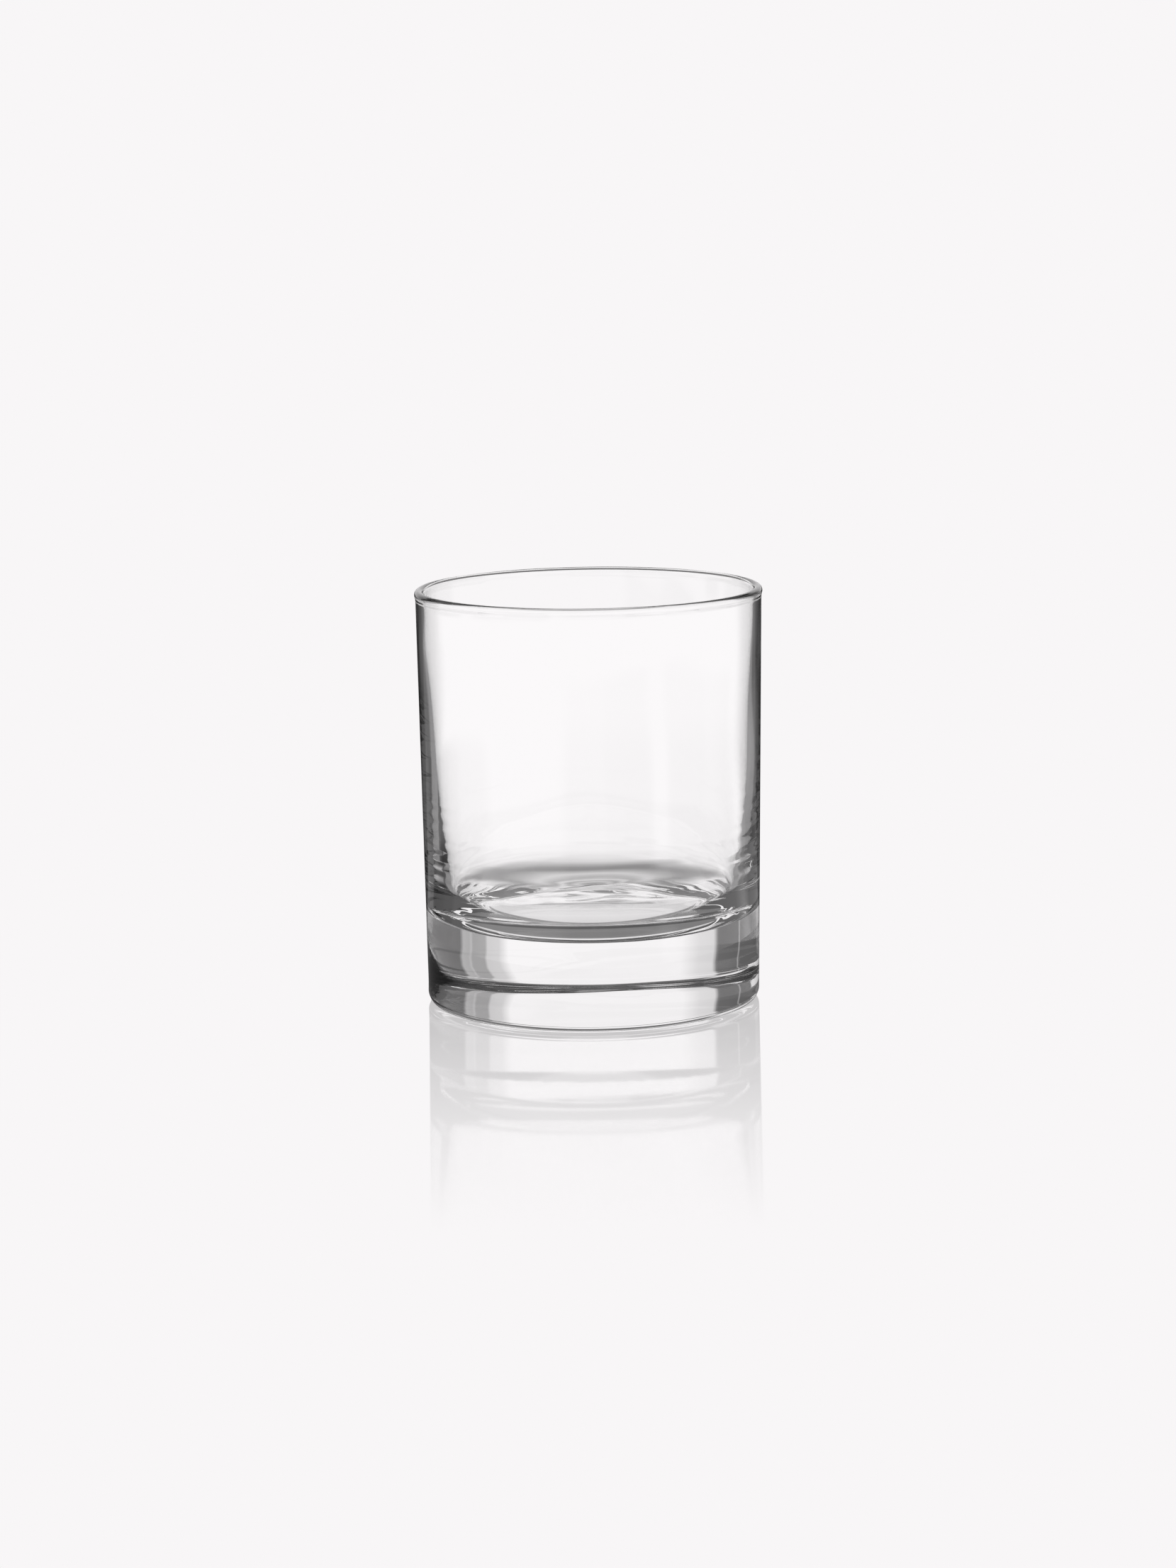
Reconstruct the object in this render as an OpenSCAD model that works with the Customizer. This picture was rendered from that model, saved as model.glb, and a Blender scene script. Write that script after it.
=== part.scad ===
// Whiskey tumbler: one piece of clear glass, a straight thin-rimmed wall on a heavy solid base.
// Sizes are in millimetres. +Z is up, and the origin is the centre of the plane it stands on.

/* [Outside] */
// Outside diameter of the wall just under the rim
mouth_d = 79; // [74:0.5:84]
// Outside diameter that the wall line reaches at the standing plane
foot_d = 76.5; // [72:0.5:84]
// Overall height
height = 95.5; // [85:0.5:110]
// Radius of the heel, which rounds the wall into the standing ring
heel_r = 2.2; // [1.5:0.1:4]

/* [Underside] */
// Width of the flat ring that the glass stands on
standing_ring_w = 3; // [1.5:0.5:6]
// Rise of the shallow hollow inside the standing ring
push_up = 0.8; // [0.4:0.1:2]

/* [Rim] */
// Radius of the rounded bead along the rim
bead_r = 1.1; // [0.9:0.05:1.5]
// How far the bead stands out from the wall
bead_proud = 0.25; // [0.1:0.05:0.5]
// Radius of the fillet that runs the wall into the bead
notch_r = 4; // [1:0.5:6]

/* [Cavity] */
// Thickness of the solid base under the middle of the cavity
base_t = 17.8; // [12:0.1:26]
// Rise of the cavity floor from its middle to the start of the corner
floor_dish = 0.6; // [0.2:0.1:1.5]
// Radius of the corner between the cavity floor and the wall
corner_r = 12; // [5:0.5:14]
// Cavity diameter where the wall meets the corner
cavity_low_d = 66.8; // [62:0.2:70]
// Lean of the cavity wall where it meets the corner, in degrees from upright
low_lean = 6.5; // [4:0.5:8]

/* [Hidden] */

// Steps along each rounded stretch of the profile
arc_steps = 16;
// Steps up the wall of the cavity
wall_steps = 24;
// Facets round the axis in a plain preview
round_fn = 256;

mouth_r = mouth_d / 2;
foot_r = foot_d / 2;
wall_lean = atan((mouth_r - foot_r) / height);

// Heel centre: heel_r above the standing plane and heel_r inside the leaning wall
heel_x = foot_r + heel_r * tan(wall_lean) - heel_r / cos(wall_lean);
hollow_r = heel_x - standing_ring_w;

// Bead centre, then the fillet's centre, which touches both the bead and the wall
bead_x = mouth_r + bead_proud - bead_r;
bead_z = height - bead_r;
notch_x = mouth_r + notch_r;
notch_drop = sqrt(pow(bead_r + notch_r, 2) - pow(notch_x - bead_x, 2));
notch_turn = atan2(notch_drop, notch_x - bead_x);

// Corner centre, and the height where the wall leaves the corner
low_r = cavity_low_d / 2;
corner_x = low_r - corner_r * cos(low_lean);
corner_z = base_t + floor_dish + corner_r;
low_z = corner_z - corner_r * sin(low_lean);

// The cavity wall starts upright under the bead and thickens downwards as a power of the depth,
// with the power that makes it meet the corner at low_lean
cavity_mouth_r = bead_x - bead_r;
thickening = cavity_mouth_r - low_r;
wall_power = tan(low_lean) * (bead_z - low_z) / thickening;

// Points of an arc about [x, z], from angle a0 to angle a1
function arc(x, z, r, a0, a1) =
    [for (i = [0:arc_steps]) let (a = a0 + (a1 - a0) * i / arc_steps) [x + r * cos(a), z + r * sin(a)]];

// Points of a shallow dish from the axis out to radius r: it rises or falls by rise on a parabola
function dish(r, z, rise) =
    [for (i = [0:arc_steps]) let (t = i / arc_steps) [r * t, z + rise * t * t]];

// Points down the cavity wall, between the bead and the corner but on neither
function cavity_wall() =
    [for (i = [1:wall_steps - 1]) let (t = i / wall_steps)
        [cavity_mouth_r - thickening * pow(t, wall_power), bead_z + (low_z - bead_z) * t]];

function reversed(points) = [for (i = [len(points) - 1:-1:0]) points[i]];

// Half section of the glass, from the underside's middle round to the cavity floor's middle
profile = concat(
    dish(hollow_r, push_up, -push_up),
    arc(heel_x, heel_r, heel_r, -90, -wall_lean),
    arc(notch_x, bead_z - notch_drop, notch_r, 180, 180 - notch_turn),
    arc(bead_x, bead_z, bead_r, -notch_turn, 180),
    cavity_wall(),
    arc(corner_x, corner_z, corner_r, -low_lean, -90),
    reversed(dish(corner_x, base_t, floor_dish))
);

module glass_tumbler() {
    color([0.86, 0.88, 0.88, 0.35])
        rotate_extrude($fn = round_fn) polygon(profile);
}

glass_tumbler();
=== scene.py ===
"""A clear glass whiskey tumbler on a pale glossy table. Metres, +Z up.

The camera looks along +Y, so "behind the glass" is +Y. A studio azimuth is in degrees from +Y towards +X.
The camera sees a plain white room. The glass sees a studio of its own, with the pale and dark parts that
give clear glass its edges, bands and rings.
"""

import math

import bpy
import numpy as np
from mathutils import Matrix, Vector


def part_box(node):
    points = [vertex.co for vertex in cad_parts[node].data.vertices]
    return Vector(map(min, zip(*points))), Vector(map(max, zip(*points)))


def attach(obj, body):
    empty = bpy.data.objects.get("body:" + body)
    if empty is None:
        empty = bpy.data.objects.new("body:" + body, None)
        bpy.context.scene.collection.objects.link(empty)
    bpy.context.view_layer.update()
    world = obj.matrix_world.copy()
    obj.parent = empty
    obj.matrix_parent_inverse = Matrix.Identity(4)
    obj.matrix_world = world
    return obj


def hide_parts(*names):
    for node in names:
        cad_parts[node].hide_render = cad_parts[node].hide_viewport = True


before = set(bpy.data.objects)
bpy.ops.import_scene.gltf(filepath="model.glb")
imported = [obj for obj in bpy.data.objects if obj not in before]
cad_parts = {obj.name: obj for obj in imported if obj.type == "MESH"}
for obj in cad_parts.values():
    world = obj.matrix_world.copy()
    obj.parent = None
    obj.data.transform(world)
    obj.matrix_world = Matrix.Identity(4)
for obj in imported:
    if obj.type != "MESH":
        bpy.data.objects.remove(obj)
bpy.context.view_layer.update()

NODE = "glass_tumbler"
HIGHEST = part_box(NODE)[1]
MM = 0.001

# ---------------------------------------------------------------- sizes of the glass

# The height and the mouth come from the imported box, and the other sizes repeat the CAD part's.
BEAD_PROUD = 0.25 * MM
INSET = 0.05 * MM  # keeps the wavy wall inside the CAD box
TAPER = 1.25 * MM
HEIGHT = HIGHEST[2]
MOUTH_R = HIGHEST[0] - BEAD_PROUD - INSET
FOOT_R = MOUTH_R - TAPER
HEEL_R = 2.2 * MM
RING_W = 3.0 * MM
PUSH_UP = 0.8 * MM
BEAD_R = 1.1 * MM
NOTCH_R = 4.0 * MM
BASE_T = 17.8 * MM
FLOOR_DISH = 0.6 * MM
CORNER_R = 12.0 * MM
CAVITY_LOW_R = 33.4 * MM
LOW_LEAN = math.radians(6.5)

BEAD = (MOUTH_R + BEAD_PROUD - BEAD_R, HEIGHT - BEAD_R)  # bead centre in the half section
GLASS_INDEX = 1.51

# Steps of the mesh
TURNS = 280
UNDERSIDE_STEPS = 40
RING_STEP = 0.3 * MM
HEEL_STEPS = 20
WALL_STEP = 2.0 * MM
BEAD_STEPS = 14
CAVITY_WALL_STEPS = 96
CORNER_STEPS = 50
FLOOR_STEPS = 56
SAME_POINT = 0.001 * MM
WAVE_SEED = 7

# ---------------------------------------------------------------- camera and table

EYE = (-0.0007, -0.95, 0.2133)
PITCH, ROLL = math.radians(9.76), math.radians(-0.847)  # looking down, and tilted to one side
LENS, SENSOR = 85.6, 32.0  # millimetres
BOUNCES = 32  # enough for light to find its way through a thick base

PALE = (0.939, 0.922, 0.930)  # the white of the room and the table
TABLE_HALF = 3.0
TABLE_INDEX = 1.55
POLISH_R, POLISH_END = 0.04, 0.2  # the polish is full out to the first, and gone at the second
POLISH = 1.4  # how much more than a plain varnish the table mirrors
POLISH_ROUGHNESS = 0.04

# Heights of the table and, just under it, of the sheets that only the glass sees
TABLE_Z = -0.1 * MM
PATCH_Z = -0.3 * MM
SHADE_Z = -0.35 * MM
MIRROR_Z = -0.4 * MM

# ---------------------------------------------------------------- studio that the glass sees

DOME_R = 4.0
GLOW_R = 5.0
MIRROR_R = 0.1  # the table mirrors the room this far out, and glows beyond it
CARD_R, CARD_LOW, CARD_HIGH = 0.13, 0.020, 0.058
# the painted shade on the table under the glass: a pale patch, and a darker disc round and under it
PATCH_R = 27 * MM
PATCH_BEHIND = 11 * MM
PATCH_STRETCH = (1.22, 0.93, 1)
SHADE_R = 33 * MM
SHEET_START = 0.1 * MM  # sheets are rings, and start this far from the axis
MIRROR_RINGS, GLOW_RINGS = 30, 90

# Light is sorted by how often it has gone in or out of the glass: twice when it has crossed one wall or the
# base, and four times when it has crossed the cavity.
HALF = 0.5  # whole counts are compared half-way between
ONE_WALL = 3 + HALF

# Brightness by degrees off straight behind the glass, right and left, as the base shows the room
ROOM_RIGHT = (
    (21, 1), (24, 0.68), (28, 0.64), (29, 0.37), (34, 0.37), (35, 0.51), (36, 0.43), (39, 0.46), (40.7, 0.13),
    (100, 0.13), (104, 1),
)
ROOM_LEFT = (
    (22, 1), (28, 0.8), (34.2, 0.76), (36.2, 0.15), (49.3, 0.13), (50, 0.4), (50.7, 0.13), (72, 0.13),
    (75, 0.4),
)
# The same for light mirrored inside the wall: dark cards on both sides
WALL_SIDES = (
    (3, 0.9), (6, 0.4), (8, 0.1), (12, 0.03), (22, 0.03), (26, 0.09), (34, 0.12), (38, 0.34), (58, 0.34),
    (66, 1),
)
# Brightness by degrees of elevation above the backlight, as the cavity's corner shows it in rings
UPPER_ROOM = (
    (24, 1), (30, 0.92), (38, 0.28), (40, 0.24), (46, 0.7), (50, 0.45), (53, 0.8), (57, 0.4), (61, 0.7),
    (66, 0.35), (90, 0.3),
)
UPPER_LIFT, LIFT_END = 18, 20  # those rings stand this much higher at the sides, in degrees, from LIFT_END on
SIDE_GREY = 0.14
OVERHEAD_DARK = 0.08  # above the room, for light mirrored inside the wall
ABOVE_BACKLIGHT = 0.75  # above the room, for light that the heel or rim bends upwards
MANY_MIRRORINGS = 0.10  # for light mirrored so often inside the glass that it has no one direction
# brightness of the painted shade under the glass
PATCH_LEVEL = 0.8
SHADE_LEVEL = 0.22
CARD_LEVEL = 0.16
THROUGH_LEVEL = 1.03  # for light that has crossed the cavity, and lost some to reflection

# Bands of degrees over which one part of the room gives way to the next
BACKLIGHT_TOP = (6, 12)
UPPER_START = (20, 24)
WALL_SIDES_START = (20, 25)
OVERHEAD_START = (30, 40)
BACKLIGHT_EDGE = (28, 34)
SIDE_END = 8

# Azimuths of the room behind the glass, when it is looked at from a corner, a side and the back. Each has
# dark sides of its own, on the part of the table that the light of that viewpoint lands on.
BEHIND_CORNER, BEHIND_SIDE, BEHIND_BACK = -45, -90, 135
CORNER_REACH, SIDE_START, BACK_REACH = (0.2, 0.25), (0.72, 0.8), (0.35, 0.45)
BACK_STRENGTH = 0.6
SIDE_VIEW_FAR, BACK_VIEW_FAR = 60, 72  # where the room is bright again, beyond its grey sides
SIDE_VIEW_AZIMUTH, SIDE_VIEW_BELOW = -60, 10  # left of this and below that, the room is the side view's
BACK_VIEW_OFF, BACK_VIEW_ABOVE = 84, 14  # further round than this and above that, the back view's
CARD_GAP = (18, 26)  # the rim card is missing this far round BEHIND_CORNER


# ---------------------------------------------------------------- profile of the glass

def arc(centre, radius, start, end, steps):
    """Points of an arc in the half section, from one angle to another in radians."""
    angles = np.linspace(start, end, steps)
    return np.column_stack([centre[0] + radius * np.cos(angles), centre[1] + radius * np.sin(angles)])


def straight(start, end, step):
    """Evenly spaced points from start to end, both included."""
    start, end = np.array(start), np.array(end)
    count = max(2, int(np.linalg.norm(end - start) / step) + 1)
    return start + (end - start) * np.linspace(0, 1, count)[:, None]


def joined(*stretches):
    """One line of points from several that meet end to end, with no doubled points."""
    points = np.vstack(stretches)
    keep = np.ones(len(points), bool)
    keep[1:] = np.linalg.norm(np.diff(points, axis=0), axis=1) > SAME_POINT
    return points[keep]


def outside_section():
    """Half section of the outside, from the middle of the underside up to the top of the rim."""
    lean = math.atan((MOUTH_R - FOOT_R) / HEIGHT)
    heel = (FOOT_R + HEEL_R * math.tan(lean) - HEEL_R / math.cos(lean), HEEL_R)
    hollow_r = heel[0] - RING_W
    t = np.linspace(0, 1, UNDERSIDE_STEPS)
    hollow = np.column_stack([hollow_r * t, PUSH_UP * (1 - t * t)])
    ring = straight((hollow_r, 0), (heel[0], 0), RING_STEP)
    rounding = arc(heel, HEEL_R, -math.pi / 2, -lean, HEEL_STEPS)
    # a fillet of radius NOTCH_R runs the wall into the bead
    notch_x = MOUTH_R + NOTCH_R
    drop = math.sqrt((BEAD_R + NOTCH_R) ** 2 - (notch_x - BEAD[0]) ** 2)
    turn = math.atan2(drop, notch_x - BEAD[0])
    fillet = arc((notch_x, BEAD[1] - drop), NOTCH_R, math.pi, math.pi - turn, BEAD_STEPS // 2)
    wall = straight(rounding[-1], fillet[0], WALL_STEP)
    crown = arc(BEAD, BEAD_R, -turn, math.pi / 2, BEAD_STEPS)
    return joined(hollow, ring, rounding, wall, fillet, crown)


def inside_section():
    """Half section of the inside, from the top of the rim down to the middle of the cavity floor."""
    crown = arc(BEAD, BEAD_R, math.pi / 2, math.pi, BEAD_STEPS)
    corner = (CAVITY_LOW_R - CORNER_R * math.cos(LOW_LEAN), BASE_T + FLOOR_DISH + CORNER_R)
    low_z = corner[1] - CORNER_R * math.sin(LOW_LEAN)
    depth = BEAD[1] - low_z
    thickening = BEAD[0] - BEAD_R - CAVITY_LOW_R
    power = math.tan(LOW_LEAN) * depth / thickening
    t = np.linspace(0, 1, CAVITY_WALL_STEPS)
    wall = np.column_stack([BEAD[0] - BEAD_R - thickening * t ** power, BEAD[1] - depth * t])
    rounding = arc(corner, CORNER_R, -LOW_LEAN, -math.pi / 2, CORNER_STEPS)
    t = np.linspace(1, 0, FLOOR_STEPS)
    dish = np.column_stack([corner[0] * t, BASE_T + FLOOR_DISH * t * t])
    return joined(crown, wall, rounding, dish)


# ---------------------------------------------------------------- waviness of hand-finished glass

def smooth_step(x, low, high):
    """0 up to low, 1 from high on, smooth between."""
    t = np.clip((x - low) / (high - low), 0, 1)
    return t * t * (3 - 2 * t)


def fall(x, start, end):
    """1 up to start, 0 from end on, smooth between."""
    return 1 - smooth_step(x, start, end)


def waves(turn, along, rng, count, lobes, lengths):
    """The sum of count random waves, about 1 high, by lobes a turn and by lengths in mm along the section."""
    total = np.zeros(np.broadcast(turn, along).shape)
    for _ in range(count):
        around = rng.integers(*lobes)
        pitch = 2 * math.pi / (rng.uniform(*lengths) * MM)
        total += np.cos(around * turn + pitch * along + rng.uniform(0, 2 * math.pi))
    return total * math.sqrt(2 / count)


def out_of_true(section, inner):
    """How far each point stands off a true body of revolution. From number inner on is the cavity."""
    rng = np.random.default_rng(WAVE_SEED)
    lengths = np.linalg.norm(np.diff(section, axis=0), axis=1)
    along = np.concatenate([[0], np.cumsum(lengths)])[:, None]
    turn = np.linspace(0, 2 * math.pi, TURNS, endpoint=False)[None, :]
    r, z = section[:, :1] / MM, section[:, 1:] / MM
    inside = (np.arange(len(section)) >= inner)[:, None]
    beside = smooth_step(np.abs(np.cos(turn)), 0.75, 0.95)
    behind = smooth_step(np.sin(turn), -0.3, 0.4)

    corner = inside * fall(z, 34, 52) * smooth_step(r, 15, 24)
    floor = inside * fall(z, 20, 24) * smooth_step(r, 2, 9)
    low_wall = inside * smooth_step(z, 27, 32) * fall(z, 44, 56) * (0.1 + 0.9 * beside)
    wall = inside * smooth_step(z, 30, 44) * fall(z, 82, 92)
    heel = ~inside * fall(z, 2, 7) * smooth_step(r, 24, 32) * behind
    heel_edge = heel * smooth_step(r, 32, 35)
    # where, height in mm, how many waves, least and most lobes a turn, least and most length in mm
    kinds = (
        (corner, 0.003, 14, (0, 2), (1.8, 4)),  # chill rings
        (corner, 0.003, 10, (1, 7), (7, 16)),
        (floor, 0.0025, 14, (0, 3), (1.8, 4)),
        (low_wall, 0.010, 16, (1, 9), (1.8, 4)),  # ripples just above the corner
        (wall, 0.04, 10, (2, 8), (40, 90)),  # slow changes of wall thickness
        (heel, 0.2, 14, (2, 13), (20, 50)),  # an uneven heel
        (heel_edge, 0.025, 24, (10, 50), (3, 7)),
    )
    return sum(where * height * MM * waves(turn, along, rng, *shape) for where, height, *shape in kinds)


# ---------------------------------------------------------------- meshes

def linked(name, points, faces, material):
    """A new mesh object in the scene."""
    mesh = bpy.data.meshes.new(name)
    mesh.from_pydata(points.tolist(), [], [tuple(int(v) for v in face) for face in faces])
    mesh.materials.append(material)
    obj = bpy.data.objects.new(name, mesh)
    bpy.context.scene.collection.objects.link(obj)
    return obj


def ring_quads(rings, count):
    """Faces between neighbouring rings of count points each."""
    here = np.arange(count)
    after = (here + 1) % count
    faces = []
    for low in range(0, (rings - 1) * count, count):
        high = low + count
        faces += zip(low + here, low + after, high + after, high + here)
    return faces


def section_normals(section):
    """Unit normals of the section's line, pointing out of the glass."""
    along = np.gradient(section, axis=0)
    across = np.column_stack([along[:, 1], -along[:, 0]])
    return across / np.linalg.norm(across, axis=1)[:, None]


def glass_body(name, material):
    """The whole glass as one closed mesh, revolved from its half section and put out of true."""
    outside = outside_section()
    section = joined(outside, inside_section())
    off = out_of_true(section, len(outside))[1:-1]
    normals = section_normals(section)[1:-1]
    rings = section[1:-1]
    turn = np.linspace(0, 2 * math.pi, TURNS, endpoint=False)
    radius = rings[:, :1] + normals[:, :1] * off
    z = np.maximum(rings[:, 1:] + normals[:, 1:] * off, 0)
    points = np.stack([radius * np.cos(turn), radius * np.sin(turn), z], axis=2).reshape(-1, 3)
    first, last = len(points), len(points) + 1
    points = np.vstack([points, [0, 0, section[0][1]], [0, 0, section[-1][1]]])
    here = np.arange(TURNS)
    after = (here + 1) % TURNS
    top = first - TURNS
    faces = [(first, b, a) for a, b in zip(here, after)]
    faces += ring_quads(len(rings), TURNS)
    faces += [(last, top + a, top + b) for a, b in zip(here, after)]
    body = linked(name, points, faces, material)
    body.data.polygons.foreach_set("use_smooth", [True] * len(body.data.polygons))
    return body


def polar_sheet(name, rings, material):
    """A part of the studio round the axis, from (radius, height) rings, that the camera doesn't see.

    It comes with the azimuth in degrees, the radius and the height of each of its points.
    """
    degrees = np.arange(-180, 180, 1.0)
    angles = np.radians(degrees)
    rings = np.array(rings)
    r, z = rings[:, :1], rings[:, 1:]
    points = np.stack([r * np.sin(angles), r * np.cos(angles), z + 0 * angles], axis=2).reshape(-1, 3)
    sheet = linked(name, points, ring_quads(len(rings), len(degrees)), material)
    seen_only_by(sheet, transmission=True, glossy=True)
    azimuth = np.tile(degrees, len(rings))
    radius, height = (np.repeat(column[:, 0], len(degrees)) for column in (r, z))
    return sheet, azimuth, radius, height


def paint(sheet, glow, direct, turned):
    """Store the three brightnesses that card_material reads, for each point of a sheet."""
    for name, level in (("glow", glow), ("direct_glow", direct), ("turned_glow", turned)):
        colours = np.ones((len(sheet.data.vertices), 4))
        colours[:, :3] = np.broadcast_to(level, len(colours))[:, None] * np.array(PALE)
        attribute = sheet.data.color_attributes.new(name, "FLOAT_COLOR", "POINT")
        attribute.data.foreach_set("color", colours.ravel())


def seen_only_by(obj, camera=False, glossy=False, transmission=False):
    """Hide a studio part from every kind of ray but these."""
    obj.visible_camera = camera
    obj.visible_glossy = glossy
    obj.visible_transmission = transmission
    obj.visible_diffuse = False
    obj.visible_shadow = False


# ---------------------------------------------------------------- materials

def glass_material():
    mat = bpy.data.materials.new("clear_glass")
    mat.use_nodes = True
    shader = mat.node_tree.nodes["Principled BSDF"]
    shader.inputs["Base Color"].default_value = (1, 1, 1, 1)
    shader.inputs["Roughness"].default_value = 0.0
    shader.inputs["IOR"].default_value = GLASS_INDEX
    shader.inputs["Transmission Weight"].default_value = 1.0
    return mat


def bare_material(name):
    """A material with an empty tree and its output socket."""
    mat = bpy.data.materials.new(name)
    mat.use_nodes = True
    mat.node_tree.nodes.clear()
    return mat, mat.node_tree, mat.node_tree.nodes.new("ShaderNodeOutputMaterial").inputs["Surface"]


def feed(tree, socket, source):
    """Link an input to another node's output, or set it to a plain value."""
    if isinstance(source, bpy.types.NodeSocket):
        tree.links.new(source, socket)
    else:
        socket.default_value = source


def math_node(tree, operation, first, second):
    node = tree.nodes.new("ShaderNodeMath")
    node.operation = operation
    for socket, source in zip(node.inputs, (first, second)):
        feed(tree, socket, source)
    return node.outputs["Value"]


def mixed_colour(tree, factor, first, second):
    node = tree.nodes.new("ShaderNodeMix")
    node.data_type = "RGBA"
    for name, source in (("Factor", factor), ("A", first), ("B", second)):
        feed(tree, node.inputs[name], source)
    return node.outputs["Result"]


def mixed_shader(tree, factor, first, second):
    node = tree.nodes.new("ShaderNodeMixShader")
    for socket, source in zip(node.inputs, (factor, first, second)):
        feed(tree, socket, source)
    return node.outputs["Shader"]


def stored_colour(tree, attribute):
    node = tree.nodes.new("ShaderNodeAttribute")
    node.attribute_name = attribute
    return node.outputs["Color"]


def gloss_shader(tree, roughness):
    """A white mirror that is blurred by its roughness."""
    node = tree.nodes.new("ShaderNodeBsdfGlossy")
    node.inputs["Roughness"].default_value = roughness
    node.inputs["Color"].default_value = (1, 1, 1, 1)
    return node.outputs["BSDF"]


def card_material(name, turned_after=0, deep_after=3, outside_counts=0, only_direct=False):
    """A glowing studio part, whose brightness depends on the light's way through the glass.

    Light only refracted by one wall sees direct_glow. Light that hasn't crossed the cavity and was mirrored
    more than turned_after times sees turned_glow. Light mirrored more than deep_after times sees one dark
    grey, and the rest sees glow. Light that never went into the glass counts as mirrored outside_counts times
    more for that grey. With only_direct, all but the first kind passes through.
    """
    mat, tree, surface = bare_material(name)
    path = tree.nodes.new("ShaderNodeLightPath").outputs
    mirrored, refracted = path["Glossy Depth"], path["Transmission Depth"]
    one_wall = math_node(tree, "LESS_THAN", refracted, ONE_WALL)
    direct = math_node(tree, "LESS_THAN", mirrored, HALF)
    direct = math_node(tree, "MULTIPLY", direct, one_wall)
    turned = math_node(tree, "GREATER_THAN", mirrored, turned_after + HALF)
    turned = math_node(tree, "MULTIPLY", turned, one_wall)
    outside = math_node(tree, "LESS_THAN", refracted, HALF)
    counted = math_node(tree, "ADD", mirrored, math_node(tree, "MULTIPLY", outside, outside_counts))
    deep = math_node(tree, "GREATER_THAN", counted, deep_after + HALF)
    dark = (*(MANY_MIRRORINGS * channel for channel in PALE), 1)
    colour = mixed_colour(tree, direct, stored_colour(tree, "glow"), stored_colour(tree, "direct_glow"))
    colour = mixed_colour(tree, turned, colour, stored_colour(tree, "turned_glow"))
    colour = mixed_colour(tree, deep, colour, dark)
    emission = tree.nodes.new("ShaderNodeEmission")
    tree.links.new(colour, emission.inputs["Color"])
    shader = emission.outputs["Emission"]
    if only_direct:
        clear = tree.nodes.new("ShaderNodeBsdfTransparent").outputs["BSDF"]
        shader = mixed_shader(tree, direct, clear, shader)
    tree.links.new(shader, surface)
    return mat


def mirror_material():
    mat, tree, surface = bare_material("table_mirror")
    tree.links.new(gloss_shader(tree, 0.0), surface)
    return mat


def table_material():
    """The pale table that the camera sees, with a polish that fades away from the glass."""
    mat, tree, surface = bare_material("pale_table")
    emission = tree.nodes.new("ShaderNodeEmission")
    emission.inputs["Color"].default_value = (*PALE, 1)
    place = tree.nodes.new("ShaderNodeTexCoord").outputs["Object"]
    distance = tree.nodes.new("ShaderNodeVectorMath")
    distance.operation = "LENGTH"
    tree.links.new(place, distance.inputs[0])
    fade = tree.nodes.new("ShaderNodeMapRange")
    tree.links.new(distance.outputs["Value"], fade.inputs["Value"])
    band = {"From Min": POLISH_R, "From Max": POLISH_END, "To Min": POLISH, "To Max": 0.0}
    for name, value in band.items():
        fade.inputs[name].default_value = value
    fresnel = tree.nodes.new("ShaderNodeFresnel")
    fresnel.inputs["IOR"].default_value = TABLE_INDEX
    polish = math_node(tree, "MULTIPLY", fade.outputs["Result"], fresnel.outputs["Fac"])
    shader = mixed_shader(tree, polish, emission.outputs["Emission"], gloss_shader(tree, POLISH_ROUGHNESS))
    tree.links.new(shader, surface)
    return mat


# ---------------------------------------------------------------- how bright the studio is where

def away(azimuth, centre):
    """Signed degrees from the centre, from -180 to 180."""
    return (azimuth - centre + 180) % 360 - 180


def level_at(x, pairs):
    return np.interp(x, *zip(*pairs))


def between_sides(azimuth, centre, far):
    """Bright behind the glass, grey on both sides, and bright again from far degrees on."""
    off = np.abs(away(azimuth, centre))
    bright = fall(off, *BACKLIGHT_EDGE) + smooth_step(off, far, far + SIDE_END)
    return SIDE_GREY + (1 - SIDE_GREY) * np.clip(bright, 0, 1)


def low_room(azimuth, elevation):
    """The room at the height of the backlight, with the parts that only the side and back views show."""
    off = away(azimuth, 0)
    front_view = np.where(off < 0, level_at(-off, ROOM_LEFT), level_at(off, ROOM_RIGHT))
    in_side_view = (off < SIDE_VIEW_AZIMUTH) & (elevation < SIDE_VIEW_BELOW)
    in_back_view = (np.abs(off) > BACK_VIEW_OFF) & (elevation > BACK_VIEW_ABOVE)
    both = np.where(in_side_view, between_sides(azimuth, BEHIND_SIDE, SIDE_VIEW_FAR), front_view)
    return np.where(in_back_view, between_sides(azimuth, BEHIND_BACK, BACK_VIEW_FAR), both)


def room(azimuth, elevation):
    """The whole room, for light that has gone straight through."""
    lift = UPPER_LIFT * smooth_step(np.abs(away(azimuth, 0)), 0, LIFT_END)
    upper = level_at(elevation - lift, UPPER_ROOM)
    above = smooth_step(elevation, *UPPER_START)
    return low_room(azimuth, elevation) * (1 - above) + upper * above


def wall_sides(azimuth, radius):
    """The dark sides for light mirrored inside the wall, for each viewpoint where its light lands."""
    def dark(centre, where):
        return where * (1 - level_at(np.abs(away(azimuth, centre)), WALL_SIDES))

    ahead = dark(0, 1)
    corner = dark(BEHIND_CORNER, fall(radius, *CORNER_REACH))
    side = dark(BEHIND_SIDE, smooth_step(radius, *SIDE_START))
    back = dark(BEHIND_BACK, BACK_STRENGTH * fall(radius, *BACK_REACH))
    return 1 - np.max([ahead, corner, side, back], axis=0)


# ---------------------------------------------------------------- studio

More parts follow.
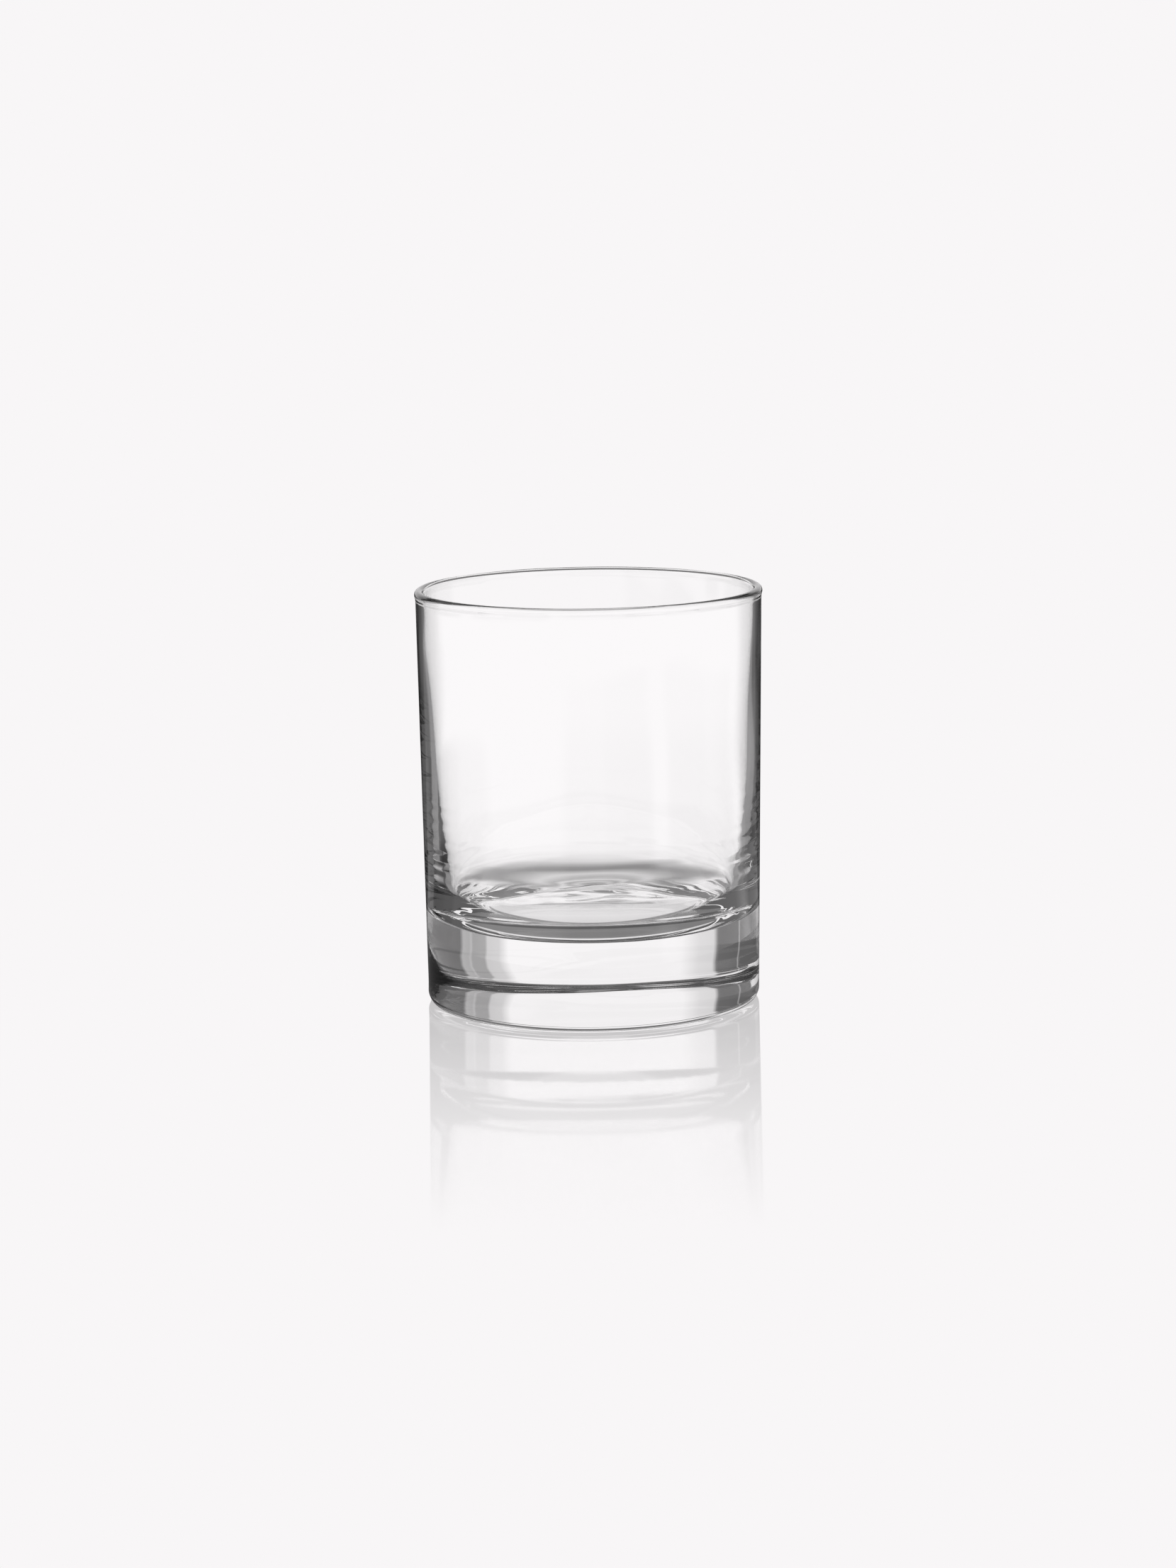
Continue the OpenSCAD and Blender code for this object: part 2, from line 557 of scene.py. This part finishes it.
def dome():
    """The room all round, as the glass and the table's polish see it."""
    elevations = np.radians(np.arange(-2, 90, 1.0))
    rings = [(DOME_R * math.cos(e), DOME_R * math.sin(e)) for e in elevations]
    material = card_material("dome", deep_after=4, outside_counts=3)
    sheet, azimuth, radius, height = polar_sheet("dome", rings, material)
    elevation = np.degrees(np.arctan2(height, radius))
    low = low_room(azimuth, np.minimum(elevation, 20))
    sides = smooth_step(elevation, *WALL_SIDES_START)
    overhead = smooth_step(elevation, *OVERHEAD_START)
    turned = low * (1 - sides) + wall_sides(azimuth, MIRROR_R) * sides
    turned = turned * (1 - overhead) + OVERHEAD_DARK * overhead
    backlight = fall(elevation, *BACKLIGHT_TOP)
    direct = low * backlight + ABOVE_BACKLIGHT * (1 - backlight)
    paint(sheet, room(azimuth, elevation), direct, turned)


def even_disc(name, radius, height, level):
    """A disc of one brightness under the glass."""
    rings = [(SHEET_START, height), (radius, height)]
    disc = polar_sheet(name, rings, card_material(name, turned_after=1, deep_after=4))[0]
    paint(disc, level, level, level)
    return disc


def table_top():
    """The table as the glass sees it: painted shade under the glass, a pale patch over a darker shade, a
    mirror round it, then a glow.
    """
    # painted shade: a glowing disc a little darker than the table, behind the axis, over a darker one
    patch = even_disc("painted_pale_shade", PATCH_R, PATCH_Z, PATCH_LEVEL)
    patch.location.y = PATCH_BEHIND
    patch.scale = PATCH_STRETCH
    even_disc("shade", SHADE_R, SHADE_Z, SHADE_LEVEL)
    rings = [(r, MIRROR_Z) for r in np.geomspace(MM, MIRROR_R, MIRROR_RINGS)]
    polar_sheet("mirror", rings, mirror_material())
    rings = [(r, MIRROR_Z) for r in np.geomspace(MIRROR_R, GLOW_R, GLOW_RINGS)]
    around, azimuth, radius, _ = polar_sheet("table_glow", rings, card_material("table_glow"))
    paint(around, THROUGH_LEVEL, 1.0, wall_sides(azimuth, radius))


def rim_card():
    """A low dark band round the glass, met only by light that the rim bends down. It draws the rim's line."""
    rings = [(CARD_R, CARD_LOW), (CARD_R, CARD_HIGH)]
    card, azimuth, _, _ = polar_sheet("rim_card", rings, card_material("rim_card", only_direct=True))
    gap = fall(np.abs(away(azimuth, BEHIND_CORNER)), *CARD_GAP)
    level = CARD_LEVEL + (1 - CARD_LEVEL) * gap
    paint(card, level, level, level)


def table():
    """The table that the camera sees."""
    corners = np.array([(x, y, 0) for x, y in ((-1, -1), (1, -1), (1, 1), (-1, 1))]) * TABLE_HALF
    corners[:, 2] = TABLE_Z
    top = linked("table", corners, [(0, 1, 2, 3)], table_material())
    seen_only_by(top, camera=True)


def white_world():
    world = bpy.data.worlds.new("studio")
    bpy.context.scene.world = world
    world.use_nodes = True
    world.node_tree.nodes["Background"].inputs["Color"].default_value = (*PALE, 1)


def camera():
    """A long lens a little above the rim, looking slightly down and rolled by under a degree."""
    data = bpy.data.cameras.new("camera")
    data.lens = LENS
    data.sensor_width = SENSOR
    eye = bpy.data.objects.new("camera", data)
    bpy.context.scene.collection.objects.link(eye)
    turn = Matrix.Rotation(math.pi / 2 - PITCH, 4, "X") @ Matrix.Rotation(ROLL, 4, "Z")
    eye.matrix_world = Matrix.Translation(EYE) @ turn
    bpy.context.scene.camera = eye


def look():
    scene = bpy.context.scene
    scene.view_settings.view_transform = "Standard"
    scene.cycles.use_denoising = True
    scene.cycles.max_bounces = BOUNCES
    scene.cycles.transmission_bounces = BOUNCES
    scene.cycles.glossy_bounces = BOUNCES


tumbler = glass_body("tumbler", glass_material())
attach(tumbler, "root")
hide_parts(NODE)

dome()
table_top()
rim_card()
table()
white_world()
camera()
look()
